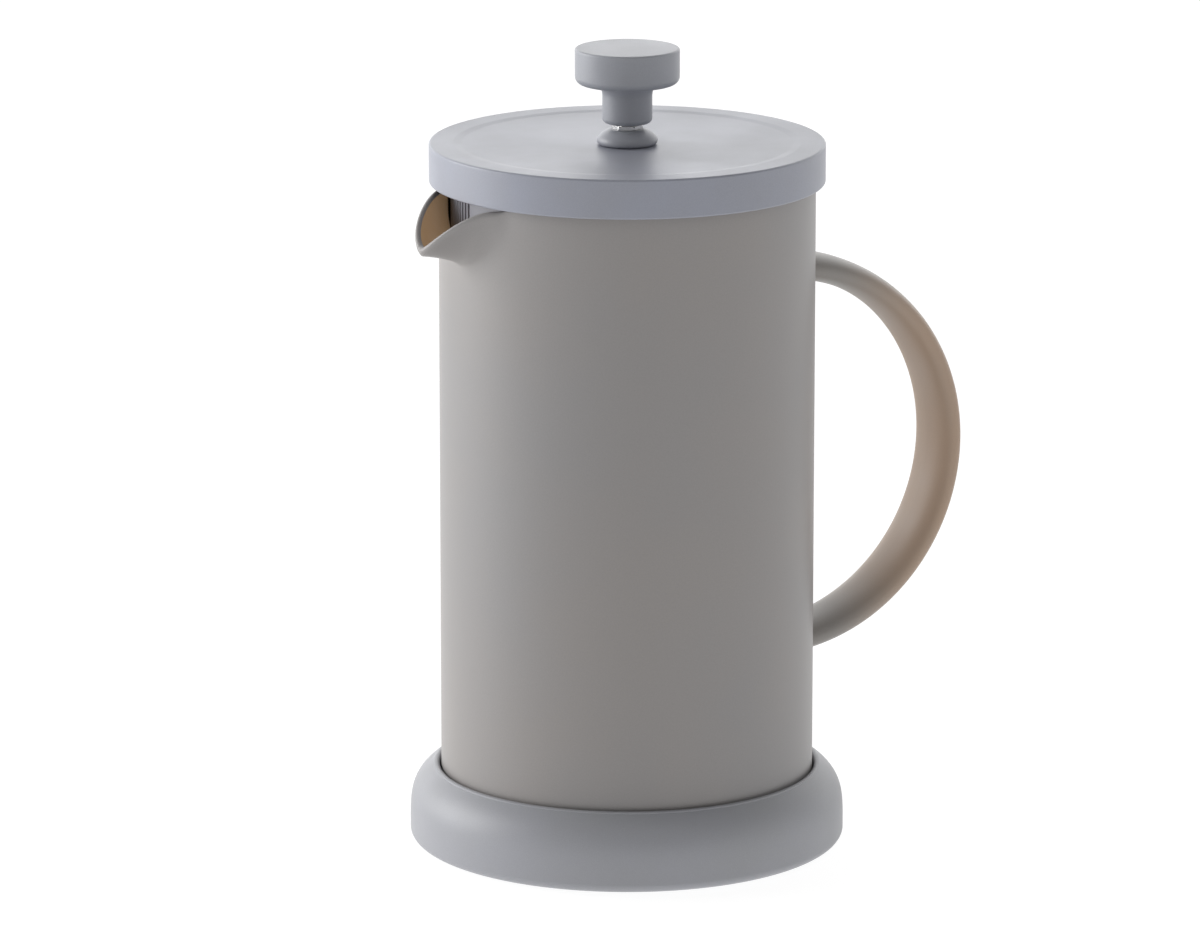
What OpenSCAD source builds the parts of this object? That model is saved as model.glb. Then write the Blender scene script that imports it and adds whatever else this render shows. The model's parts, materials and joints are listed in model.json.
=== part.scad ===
// Plunger coffee maker: a painted glass body with a pulled spout and a fused handle,
// a cup-shaped base, a lid that lifts and turns, and a plunger with a sprung filter.
// Millimetres. Origin at the middle of the underside, +Z up, +X to the handle, -X to the spout.

/* [Glass body] */
// Outside diameter of the glass
body_d = 98; // [94:1:104]
// Thickness of the glass wall
glass_wall = 2.4; // [2.2:0.1:2.8]
// Thickness of the glass floor
glass_floor = 3; // [2.5:0.1:4]
// Height of the glass rim above the table
rim_z = 184.1; // [183:0.1:210]
// Outside radius of the bottom corner
corner_r = 8; // [7:0.5:10]

/* [Spout] */
// How far the spout's tip stands out from the glass
spout_reach = 11; // [7:0.5:13]
// Half the angle that the spout takes up
spout_half_angle = 25; // [21:1:26]
// Drop from the rim to the spout's tip
spout_drop = 19.1; // [17:0.1:21]

/* [Handle] */
// Radius of the handle's centre line
grip_r = 50.6; // [44:0.2:54]
// Distance from the body's axis to the centre of the grip's arc
grip_x = 43.9; // [41:0.1:45]
// Height of the centre of the grip's arc
grip_z = 99.6; // [92:0.1:101]
// Width of the band
grip_w = 18.4; // [14:0.2:22]
// Thickness of the band
grip_t = 7.5; // [6:0.1:9]

/* [Base] */
// Radius of the base where it is widest
base_r = 57.2; // [56.8:0.1:60]
// Height of the base's crest
base_h = 21.1; // [19:0.1:26]
// Gap round the glass at the crest
base_gap = 0.35; // [0.3:0.05:0.6]

/* [Lid] */
// Height of the lid's outer band
band_h = 10.25; // [9.5:0.05:10.7]
// Thickness of the band
band_t = 1.6; // [1.4:0.1:1.8]
// Depth that the skirt reaches below the rim
skirt_drop = 20.1; // [18:0.1:24]
// Turn of the pouring grate away from the handle's side
grate_turn = 150.4; // [90:0.1:180]
// Number of slots in the pouring grate
grate_slots = 25; // [15:2:31]

/* [Plunger] */
// Diameter of the rod
rod_d = 4.8; // [4.4:0.1:5]
// Radius of the knob's head
knob_r = 13.6; // [12:0.1:18]
// Height of the knob, from the neck's foot to the top
knob_h = 19.7; // [18:0.1:25]
// Number of rings of holes in the upper plate
hole_rings = 4; // [2:1:4]

/* [Hidden] */
$fn = 96;

// colours
plastic_grey = [0.60, 0.61, 0.65];
glass_grey = [0.55, 0.53, 0.51];
steel_grey = [0.76, 0.77, 0.78];
brass_gold = [0.78, 0.62, 0.32];
soft_grey = [0.35, 0.35, 0.37];

// stack of the base, from the table up
pad_t = 1.6;             // non-slip pad
pad_proud = 0.6;         // the pad stands below the shell by this
base_floor = 1.8;
seat_t = 1.4;
seat_gap = 0.2;          // the glass stands this clear of the cushion
floor_top = pad_t + base_floor;
glass_z = floor_top + seat_t + seat_gap;

// glass
body_r = body_d / 2;
bore_r = body_r - glass_wall;
inner_corner = corner_r - glass_wall + 0.4;
inside_z = glass_z + glass_floor;
mid_r = body_r - glass_wall / 2;

// the top of the glass is a swept skin that starts just above the handle's root
skin_z = grip_z + 55.4;
skin_half = glass_wall * 0.45;
lip_half = 1.2;
flare_power = 2.4;
flare_z = rim_z - spout_drop - 6;  // the flare starts here in the spout's middle
tip_rise = spout_drop - 8.1;     // from the tip to the shoulders beside the spout
shoulder_angle = spout_half_angle * 0.76;
level_angle = 36;                // the rim is level from here on
skin_rows = 10;
cap_steps = 4;
spout_at = 180;
fine_to = 40;                    // fine columns this far each side of the spout
columns = concat(
    [for (d = [-fine_to : 2.5 : fine_to]) spout_at + d],
    [for (d = [fine_to + 7 : 7 : 360 - fine_to - 7]) spout_at + d]
);

// lid
lid_gap = 0.3;                         // the cover stands this clear of the rim
cover_under = rim_z + lid_gap;
cover_t = 2.2;
recess_z = cover_under + cover_t;      // the top round the hub
lid_top = recess_z + 0.65;             // the edge
dish_z = lid_top - 0.25;               // the top is dished from here down to the hub
band_z = lid_top - band_h;
band_r = body_r + 0.9 + band_t;
liner_t = 1.5;
skirt_r = bore_r - 0.7;
skirt_t = 1.4;
skirt_z = rim_z - skirt_drop;
slot_w = 1;
slot_pitch = 2.4;                      // degrees
slot_low = skirt_z + 3;
slot_high = cover_under - liner_t - 1.8;

// hub of the lid
running_fit = 0.05;
rod_r = rod_d / 2;
ferrule_r = rod_r + 1;
hub_play = 0.1;                        // the hub clears the lid along its axis by this
cap_r = 7.9;
cap_z = recess_z + hub_play;
cap_top = cap_z + 4;
head_af = 7;                           // the ferrule's hexagonal head, across the flats
head_t = 1;
washer_r = 8;
washer_t = 1;
washer_z = cover_under - liner_t - hub_play - washer_t;
nut_af = 12;                           // across the flats
nut_t = 4;
nut_z = washer_z - nut_t;

// plunger, at rest with the filter down
knob_gap = 1.5;
knob_z = cap_top + knob_gap;
knob_top = knob_z + knob_h;
neck_r = 6.5;
flare_r = 7.6;
knob_head_h = 9.5;
knob_head_z = knob_top - knob_head_h;
insert_r = 4.1;
insert_z = knob_z + 0.8;
insert_top = knob_head_z + 0.5;
filter_lift = 0.4;                     // the filter's hub clears the glass floor by this
bush_z = inside_z + filter_lift;
cross_z = bush_z + 1.6;
cross_t = 0.8;
cross_r = bore_r - 5.6;
mesh_z = cross_z + cross_t + 0.1;
mesh_t = 0.4;
mesh_r = bore_r - 0.3;
mesh_top = mesh_z + 6.1;
plate_z = mesh_z + mesh_t + 0.1;
plate_t = 0.8;
plate_r = bore_r - 5.6;
coil_r = 2.1;                          // outside radius of the spring's coil
coil_ring = mesh_r - mesh_t - 0.2 - coil_r;
coil_z = mesh_z + mesh_t + 0.2 + coil_r;
collar_r = 6;
collar_t = 4;

function ramp(x, lo, hi) = min(1, max(0, (x - lo) / (hi - lo)));
function smooth(x, lo, hi) = let (u = ramp(x, lo, hi)) u * u * (3 - 2 * u);
function arc(cx, cy, r, from, to, steps) =
    [for (i = [0 : steps]) let (a = from + (to - from) * i / steps) [cx + r * cos(a), cy + r * sin(a)]];

// 1 in the middle of the spout, 0 beyond its sides; d is the angle from its middle
function spread(d) = abs(d) < spout_half_angle ? pow(cos(90 * d / spout_half_angle), 2) : 0;
function lip_height(d) =
    rim_z - spout_drop
    + tip_rise * pow(sin(90 * min(abs(d), shoulder_angle) / shoulder_angle), 1.35)
    + (spout_drop - tip_rise) * smooth(abs(d), shoulder_angle, level_angle);
// middle of the wall at height z in the column d degrees from the spout, and its slope there
function flare_start(d) = flare_z + 5 * (1 - spread(d));
function flare_at(d) = (spout_reach + 0.3) * spread(d);
function wall_at(d, z, top) =
    let (u = ramp(z, flare_start(d), top)) mid_r + flare_at(d) * pow(u, flare_power);
function slope_at(d, z, top) =
    let (u = ramp(z, flare_start(d), top))
    flare_at(d) * flare_power * pow(u, flare_power - 1) / (top - flare_start(d));
// one column of the skin, up the outside, over the lip and down the inside, as [radius, height]
function skin_column(d) =
    let (
        top = lip_height(d) - lip_half,
        side = [for (i = [0 : skin_rows]) skin_z + (top - skin_z) * i / skin_rows],
        turn = [for (z = side) atan(slope_at(d, z, top))],
        mid = [for (z = side) wall_at(d, z, top)],
        half = [for (i = [0 : skin_rows]) skin_half + (lip_half - skin_half) * i / skin_rows],
        end = skin_rows
    )
    concat(
        [for (i = [0 : end]) [mid[i] + half[i] * cos(turn[i]), side[i] - half[i] * sin(turn[i])]],
        [for (k = [1 : cap_steps - 1])
            let (a = 180 * k / cap_steps - turn[end])
            [mid[end] + half[end] * cos(a), side[end] + half[end] * sin(a)]],
        [for (i = [end : -1 : 0]) [mid[i] - half[i] * cos(turn[i]), side[i] + half[i] * sin(turn[i])]]
    );

module ring(outer, inner, z, h) {
    translate([0, 0, z])
        difference() {
            cylinder(r = outer, h = h);
            translate([0, 0, -1])
                cylinder(r = inner, h = h + 2);
        }
}

// ---- base ----

module base_shell() {
    crest = 1;                         // radius of the rounded crest
    inner = body_r + base_gap;
    crest_x = inner + crest;
    crest_z = base_h - crest;
    wide_z = 3.4;
    foot_r = base_r - 4;
    bulge = 4.4;                       // power of the side's curve
    side = [for (i = [0 : 14])
        let (z = wide_z + (base_h - 0.5 - wide_z) * i / 14)
        [base_r - (base_r - crest_x - 0.7) * pow((z - wide_z) / (base_h - 0.5 - wide_z), bulge), z]];
    foot = [for (a = [90 : -11.25 : 11.25])
        [foot_r + (base_r - foot_r) * cos(a), wide_z - (wide_z - pad_proud) * sin(a)]];
    color(plastic_grey)
        difference() {
            rotate_extrude()
                polygon(concat(
                    [[0, pad_proud]],
                    foot,
                    side,
                    arc(crest_x, crest_z, crest, 60, 180, 8),
                    [[inner, floor_top + 6]],
                    arc(inner - 6, floor_top + 6, 6, 0, -90, 6),
                    [[0, floor_top]]
                ));
            translate([0, 0, -1])
                cylinder(r = body_r - 4, h = pad_t + 1);
        }
}

module seat_ring() {
    color(soft_grey)
        rotate_extrude()
            polygon(concat(
                [[bore_r - 14, floor_top], [body_r - corner_r - 0.8, floor_top]],
                arc(body_r - corner_r - 1.3, floor_top + seat_t - 0.5, 0.5, 0, 90, 4),
                arc(bore_r - 13.5, floor_top + seat_t - 0.5, 0.5, 90, 180, 4)
            ));
}

module grip_pad() {
    grooves = 5;
    color(soft_grey)
        difference() {
            cylinder(r = body_r - 4.05, h = pad_t);
            for (i = [1 : grooves])
                ring(i * 7 + 2, i * 7 + 1, -1, 1.4);
        }
}

// ---- glass ----

module vessel() {
    rows = len(skin_column(0));
    count = len(columns);
    points = [for (a = columns) for (p = skin_column(a - spout_at)) [p[0] * cos(a), p[0] * sin(a), p[1]]];
    faces = [for (c = [0 : count - 1]) for (r = [0 : rows - 1])
        let (c2 = (c + 1) % count, r2 = (r + 1) % rows)
        each [
            [c * rows + r, c * rows + r2, c2 * rows + r2],
            [c * rows + r, c2 * rows + r2, c2 * rows + r]
        ]];
    color(glass_grey)
        union() {
            rotate_extrude()
                polygon(concat(
                    [[0, glass_z]],
                    arc(body_r - corner_r, glass_z + corner_r, corner_r, -90, 0, 10),
                    [[body_r, skin_z], [bore_r, skin_z]],
                    arc(bore_r - inner_corner, inside_z + inner_corner, inner_corner, 0, -90, 10),
                    [[0, inside_z]]
                ));
            polyhedron(points, faces);
        }
}

module handle() {
    sides = 28;
    squareness = 2.3;
    sweep = 174;                       // far enough round for both ends to reach into the glass
    section = [for (i = [0 : sides - 1])
        let (a = 360 * i / sides)
        [grip_r + grip_t / 2 * sign(cos(a)) * pow(abs(cos(a)), 2 / squareness),
            grip_w / 2 * sign(sin(a)) * pow(abs(sin(a)), 2 / squareness)]];
    color(glass_grey)
        difference() {
            translate([grip_x, 0, grip_z])
                rotate([90, 0, 0])
                    rotate([0, 0, -sweep / 2])
                        rotate_extrude(angle = sweep)
                            polygon(section);
            translate([0, 0, grip_z - grip_r - grip_t])
                rotate([0, 0, 90])
                    cylinder(r = body_r, h = 2 * (grip_r + grip_t));
        }
}

// ---- lid ----

module lid_cover() {
    edge = 0.6;
    color(plastic_grey)
        rotate_extrude()
            polygon(concat(
                [[ferrule_r + running_fit, cover_under], [band_r - band_t, cover_under]],
                arc(band_r - band_t + 0.4, band_z + 0.4, 0.4, 180, 270, 3),
                arc(band_r - 0.4, band_z + 0.4, 0.4, 270, 360, 3),
                arc(band_r - edge, lid_top - edge, edge, 0, 90, 5),
                [
                    [band_r - 6.4, lid_top], [band_r - 8.6, dish_z],
                    [cap_r + 1, recess_z], [ferrule_r + running_fit, recess_z]
                ]
            ));
}

module lid_liner() {
    color(plastic_grey)
        difference() {
            rotate_extrude()
                polygon([
                    [ferrule_r + running_fit, cover_under - liner_t],
                    [skirt_r - skirt_t - 1, cover_under - liner_t],
                    [skirt_r - skirt_t, cover_under - liner_t - 1],
                    [skirt_r - skirt_t, skirt_z],
                    [skirt_r - 0.4, skirt_z],
                    [skirt_r, skirt_z + 0.6],
                    [skirt_r, cover_under],
                    [ferrule_r + running_fit, cover_under]
                ]);
            for (i = [0 : grate_slots - 1])
                rotate([0, 0, grate_turn + (i - (grate_slots - 1) / 2) * slot_pitch])
                    translate([skirt_r - 4, -slot_w / 2, slot_low])
                        cube([6, slot_w, slot_high - slot_low]);
        }
}

module lid_cap() {
    foot = 0.9;                        // rounding of the dome's foot
    crown_r = 4.1;                     // flat top that the ferrule's head sits on
    slope = 1.5;                       // above 1, the dome's side is straighter
    color(plastic_grey)
        rotate_extrude()
            polygon(concat(
                [[ferrule_r + running_fit, cap_z], [cap_r - foot, cap_z]],
                arc(cap_r - foot, cap_z + foot, foot, -60, -15, 3),
                [for (a = [0 : 11.25 : 78.75])
                    [crown_r + (cap_r - crown_r) * pow(cos(a), slope),
                        cap_z + foot + (cap_top - cap_z - foot) * sin(a)]],
                [[crown_r, cap_top], [ferrule_r + running_fit, cap_top]]
            ));
}

module rod_ferrule() {
    tail = 1;
    color(steel_grey)
        union() {
            ring(ferrule_r, rod_r + running_fit, nut_z - tail, cap_top - nut_z + tail + 0.1);
            difference() {
                translate([0, 0, cap_top])
                    cylinder(r = head_af / 2 / cos(30), h = head_t, $fn = 6);
                translate([0, 0, cap_top - 1])
                    cylinder(r = rod_r + running_fit, h = head_t + 2);
            }
        }
}

module lid_washer() {
    color(steel_grey)
        ring(washer_r, ferrule_r, washer_z, washer_t);
}

module lid_nut() {
    color(steel_grey)
        difference() {
            intersection() {
                translate([0, 0, nut_z])
                    cylinder(r = nut_af / 2 / cos(30), h = nut_t, $fn = 6);
                rotate_extrude()
                    polygon([
                        [0, nut_z], [nut_af / 2, nut_z],
                        [nut_af / 2 + 1.2, nut_z + 0.7], [nut_af / 2 + 1.2, nut_z + nut_t],
                        [0, nut_z + nut_t]
                    ]);
            }
            translate([0, 0, nut_z - 1])
                cylinder(r = ferrule_r, h = nut_t + 2);
        }
}

// ---- plunger ----

module knob() {
    neck_edge = 1.4;
    top_edge = 0.5;
    under_edge = 2;
    flare_h = 3.2;
    color(plastic_grey)
        rotate_extrude()
            polygon(concat(
                [[rod_r + 0.2, knob_z]],
                arc(neck_r - neck_edge, knob_z + neck_edge, neck_edge, -90, 0, 6),
                [for (i = [0 : 6])
                    [neck_r + (flare_r - neck_r) * pow(i / 6, 2.4), knob_head_z - flare_h + flare_h * i / 6]],
                arc(knob_r - under_edge, knob_head_z + under_edge, under_edge, -80, 0, 6),
                arc(knob_r - top_edge, knob_top - top_edge, top_edge, 0, 90, 6),
                [[0, knob_top], [0, insert_top], [insert_r, insert_top], [insert_r, insert_z],
                    [rod_r + 0.2, insert_z]]
            ));
}

module knob_insert() {
    color(brass_gold)
        union() {
            ring(insert_r, rod_r, insert_z, 3);
            ring(insert_r - 0.6, rod_r, insert_z + 2.9, 2.2);
            ring(insert_r, rod_r, insert_z + 5, insert_top - insert_z - 5);
        }
}

module rod() {
    tip = 0.6;
    low = bush_z + 0.2;
    high = insert_top - 1;
    color(steel_grey)
        rotate_extrude()
            polygon([
                [0, low], [rod_r - tip, low], [rod_r, low + tip],
                [rod_r, high - tip], [rod_r - tip, high], [0, high]
            ]);
}

module rod_collar() {
    z = plate_z + plate_t;
    color(steel_grey)
        rotate_extrude()
            polygon([
                [rod_r, z], [collar_r, z], [collar_r, z + collar_t - 1.6],
                [collar_r - 1.6, z + collar_t], [rod_r, z + collar_t]
            ]);
}

module spiral_plate() {
    hole_r = 2.2;
    ring_step = 7.6;
    color(steel_grey)
        difference() {
            union() {
                ring(plate_r, rod_r, plate_z, plate_t);
                ring(plate_r, plate_r - plate_t, plate_z + plate_t - 0.1, 2);
            }
            for (k = [1 : hole_rings])
                for (i = [0 : 6 * k - 1])
                    rotate([0, 0, 360 / (6 * k) * (i + k / 2)])
                        translate([5 + ring_step * k, 0, plate_z - 1])
                            cylinder(r = hole_r, h = plate_t + 2, $fn = 24);
        }
}

module rim_spring() {
    color(steel_grey)
        translate([0, 0, coil_z])
            rotate_extrude()
                translate([coil_ring, 0])
                    circle(r = coil_r, $fn = 32);
}

module mesh_screen() {
    bend = 3;
    color(steel_grey)
        rotate_extrude()
            polygon(concat(
                [[rod_r, mesh_z]],
                arc(mesh_r - bend, mesh_z + bend, bend, -90, 0, 6),
                [[mesh_r, mesh_top], [mesh_r - mesh_t, mesh_top]],
                arc(mesh_r - bend, mesh_z + bend, bend - mesh_t, 0, -90, 6),
                [[rod_r, mesh_z + mesh_t]]
            ));
}

module cross_plate() {
    hub = 9;
    rim = 4;
    arm = 8;
    windows = 4;
    color(steel_grey)
        difference() {
            ring(cross_r, rod_r + 1.2, cross_z, cross_t);
            difference() {
                ring(cross_r - rim, hub, cross_z - 1, cross_t + 2);
                for (i = [0 : windows / 2 - 1])
                    rotate([0, 0, 45 + i * 360 / windows])
                        translate([-cross_r, -arm / 2, cross_z - 2])
                            cube([2 * cross_r, arm, cross_t + 4]);
            }
        }
}

module cross_bush() {
    color(steel_grey)
        union() {
            ring(6, rod_r, bush_z, cross_z - bush_z);
            ring(rod_r + 1.2, rod_r, cross_z - 0.1, cross_t + 0.1);
        }
}

base_shell();
seat_ring();
grip_pad();
vessel();
handle();
lid_cap();
rod_ferrule();
lid_washer();
lid_nut();
lid_cover();
lid_liner();
knob();
knob_insert();
rod();
rod_collar();
spiral_plate();
rim_spring();
mesh_screen();
cross_plate();
cross_bush();
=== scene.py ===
import json
import math

import bmesh
import bpy
from mathutils import Matrix, Vector


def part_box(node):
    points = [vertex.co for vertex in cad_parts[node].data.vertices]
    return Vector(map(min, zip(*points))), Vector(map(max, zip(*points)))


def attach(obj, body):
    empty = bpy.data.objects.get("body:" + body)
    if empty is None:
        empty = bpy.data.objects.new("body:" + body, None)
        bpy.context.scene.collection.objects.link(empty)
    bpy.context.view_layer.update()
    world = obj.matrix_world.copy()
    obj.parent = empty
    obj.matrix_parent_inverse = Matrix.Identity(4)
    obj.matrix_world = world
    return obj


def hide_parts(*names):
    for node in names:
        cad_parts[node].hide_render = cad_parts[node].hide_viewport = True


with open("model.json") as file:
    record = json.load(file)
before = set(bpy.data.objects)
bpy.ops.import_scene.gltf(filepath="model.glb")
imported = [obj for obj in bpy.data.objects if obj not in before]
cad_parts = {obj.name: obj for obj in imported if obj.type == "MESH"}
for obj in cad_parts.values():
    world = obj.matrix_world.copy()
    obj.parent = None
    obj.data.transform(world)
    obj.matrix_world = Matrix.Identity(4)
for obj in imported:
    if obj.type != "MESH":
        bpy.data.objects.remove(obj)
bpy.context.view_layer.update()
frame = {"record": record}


cameraSetup = {
    "azimuth": -28.1,
    "elevation": 13.77,
    "distance": 1.948,
    "lens": 222.8,
    "aimHeight": 0.09,
    "aimRight": -0.00708,
    "aimUp": 0.00847,
}


def outward(azimuth, elevation):
    # the direction from the press to something that looks at it from this azimuth
    turn, tilt = math.radians(azimuth), math.radians(elevation)
    return Vector((math.sin(turn) * math.cos(tilt), -math.cos(turn) * math.cos(tilt), math.sin(tilt)))


def placeCamera(setup):
    back = outward(setup["azimuth"], setup["elevation"])
    right = outward(setup["azimuth"] + 90, 0)
    up = back.cross(right)
    middle = Vector((0, 0, setup["aimHeight"]))
    aim = middle + right * setup["aimRight"] + up * setup["aimUp"]
    camera = bpy.data.objects.new("camera", bpy.data.cameras.new("camera"))
    bpy.context.collection.objects.link(camera)
    camera.location = middle + back * setup["distance"]
    camera.rotation_mode = "QUATERNION"
    camera.rotation_quaternion = (aim - camera.location).to_track_quat("-Z", "Y")
    camera.data.lens = setup["lens"]
    camera.data.sensor_width = 36
    camera.data.clip_end = 50
    bpy.context.scene.camera = camera


placeCamera(cameraSetup)
print("camera placed")


class Wire:
    # a socket that can be added, taken away, multiplied and so on
    def __init__(self, finish, socket):
        self.finish = finish
        self.socket = socket

    def math(self, operation, first, second):
        return self.finish.node("ShaderNodeMath", {"operation": operation}, {0: first, 1: second})

    def __add__(self, other):
        return self.math("ADD", self, other)

    def __sub__(self, other):
        return self.math("SUBTRACT", self, other)

    def __rsub__(self, other):
        return self.math("SUBTRACT", other, self)

    def __mul__(self, other):
        return self.math("MULTIPLY", self, other)

    def __pow__(self, other):
        return self.math("POWER", self, other)

    __radd__ = __add__
    __rmul__ = __mul__


class Finish:
    # a material with one Principled shader, and the nodes that feed it
    def __init__(self, name, **constants):
        self.material = bpy.data.materials.new(name)
        self.material.use_nodes = True
        self.tree = self.material.node_tree
        self.shader = self.tree.nodes["Principled BSDF"]
        self.output = self.tree.nodes["Material Output"]
        for socket, value in constants.items():
            self.shader.inputs[socket.replace("_", " ")].default_value = value

    def node(self, kind, settings=None, inputs=None, output=0):
        made = self.tree.nodes.new(kind)
        for key, value in (settings or {}).items():
            if key == "stops":
                ramp = made.color_ramp.elements
                while len(ramp) < len(value):
                    ramp.new(0.5)
                for stop, (place, colour) in zip(ramp, value):
                    stop.position = place
                    stop.color = colour
            else:
                setattr(made, key, value)
        for key, value in (inputs or {}).items():
            if isinstance(value, Wire):
                self.tree.links.new(value.socket, made.inputs[key])
            else:
                made.inputs[key].default_value = value
        return Wire(self, made.outputs[output])

    def place(self):
        return self.node("ShaderNodeTexCoord", output="Object")

    def axis(self, name):
        return self.node("ShaderNodeSeparateXYZ", inputs={0: self.place()}, output=name)

    def stretched(self, scale):
        return self.node("ShaderNodeMapping", inputs={"Vector": self.place(), "Scale": scale})

    def noise(self, scale, detail=2, vector=None, roughness=0.5):
        where = vector or self.place()
        sockets = {"Vector": where, "Scale": scale, "Detail": detail, "Roughness": roughness}
        return self.node("ShaderNodeTexNoise", inputs=sockets)

    def fit(self, value, low, high, outLow, outHigh, shape="LINEAR"):
        sockets = {"Value": value, "From Min": low, "From Max": high, "To Min": outLow, "To Max": outHigh}
        return self.node("ShaderNodeMapRange", {"interpolation_type": shape}, sockets)

    def blend(self, amount, first, second, how="MIX"):
        settings = {"data_type": "RGBA", "blend_type": how}
        return self.node("ShaderNodeMix", settings, {0: amount, 6: first, 7: second}, output=2)

    def bump(self, height, strength, distance):
        sockets = {"Height": height, "Strength": strength, "Distance": distance}
        return self.node("ShaderNodeBump", inputs=sockets)

    def feed(self, **links):
        for socket, wire in links.items():
            self.tree.links.new(wire.socket, self.shader.inputs[socket.replace("_", " ")])


def rgb(red, green, blue):
    # a colour as a screen shows it, 0 to 255, made linear
    def linear(value):
        value /= 255
        return value / 12.92 if value <= 0.04045 else ((value + 0.055) / 1.055) ** 2.4
    return (linear(red), linear(green), linear(blue), 1)


paint = {
    "grey": rgb(145, 141, 139),
    "cool": rgb(142, 140, 140),
    "roughness": 0.42,
}


def makePaintedGlass():
    # satin lacquer sprayed on the outside of the glass
    finish = Finish("paintedGlass", Coat_Roughness=0.25, Coat_IOR=1.5, IOR=1.5)
    cloud = finish.noise(16, detail=3)
    speck = finish.noise(2600, detail=2)
    peel = finish.noise(520, detail=2)
    tone = finish.blend(finish.fit(cloud, 0.35, 0.65, 0, 1), paint["grey"], paint["cool"])
    grain = finish.blend(0.03, tone, finish.fit(speck, 0.25, 0.75, 0.0, 1.0), "OVERLAY")
    rough = finish.fit(cloud, 0.3, 0.7, paint["roughness"] - 0.04, paint["roughness"] + 0.04)
    rough = rough + finish.fit(speck, 0.3, 0.7, -0.03, 0.03)
    relief = peel * 0.7 + speck * 0.3
    finish.feed(Base_Color=grain, Roughness=rough, Normal=finish.bump(relief, 0.1, 0.00006))
    return finish.material


bareTones = {
    "light": rgb(176, 146, 114),
    "dark": rgb(164, 134, 104),
    # a painted glow: emission colour near the spout, where light would come through the glass
    "glow": (0.11, 0.072, 0.04, 1),
    "glowFull": 16,        # degrees from the spout's middle, where the glow starts to fade
    "glowEnd": 34,
    "glowLow": 0.155,      # it comes in between these two heights
    "glowHigh": 0.162,
}


def makeBareGlass():
    # the inside of the glass, where the lacquer shows through from behind as a warm brown; near the spout an
    # emission adds a painted glow, standing in for light coming through the glass
    finish = Finish("bareGlass", Coat_Weight=0.6, Coat_Roughness=0.04, IOR=1.5, Emission_Strength=1.0)
    cloud = finish.noise(40, detail=3)
    tone = finish.blend(finish.fit(cloud, 0.35, 0.65, 0, 1), bareTones["light"], bareTones["dark"])
    # painted glow: the emission is strongest near the spout's middle and fades out away from it and below the
    # two heights
    toSpout = 0 - finish.axis("X")
    turn = finish.node("ShaderNodeMath", {"operation": "ARCTAN2"}, {0: finish.axis("Y"), 1: toSpout})
    wide = finish.node("ShaderNodeMath", {"operation": "ABSOLUTE"}, {0: turn})
    full, end = math.radians(bareTones["glowFull"]), math.radians(bareTones["glowEnd"])
    nearSpout = finish.fit(wide, full, end, 1, 0, "SMOOTHSTEP")
    high = finish.fit(finish.axis("Z"), bareTones["glowLow"], bareTones["glowHigh"], 0, 1, "SMOOTHSTEP")
    glow = finish.blend(nearSpout * high, (0, 0, 0, 1), bareTones["glow"])
    finish.feed(Base_Color=tone, Roughness=finish.fit(cloud, 0.3, 0.7, 0.14, 0.2), Emission_Color=glow)
    return finish.material


handle = {
    "thickness": 0.0075,
    "width": 0.0184,
    "middleX": 0.0439,
    "squareness": 2.3,
    "weld": 0.0026,
    "weldSpread": 0.0013,
    "sides": 48,
    "steps": 120,
}


handlePaint = {
    "ends": rgb(137, 133, 129),
    # painted light: the colour round the bow, for light coming through the glass
    "middle": rgb(170, 148, 129),
    # painted lit side: the colour of the +Y half of the bow
    "paintedLitSide": rgb(176, 155, 136),
    "glow": rgb(206, 180, 154),
    # emission colours of a painted glow: the -Y side of the bow, and the rest of the handle
    "paintedGlowSide": (0.065, 0.051, 0.04, 1),
    "paintedGlowEnds": (0.018, 0.017, 0.016, 1),
    "glowShare": 0.22,
}


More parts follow.
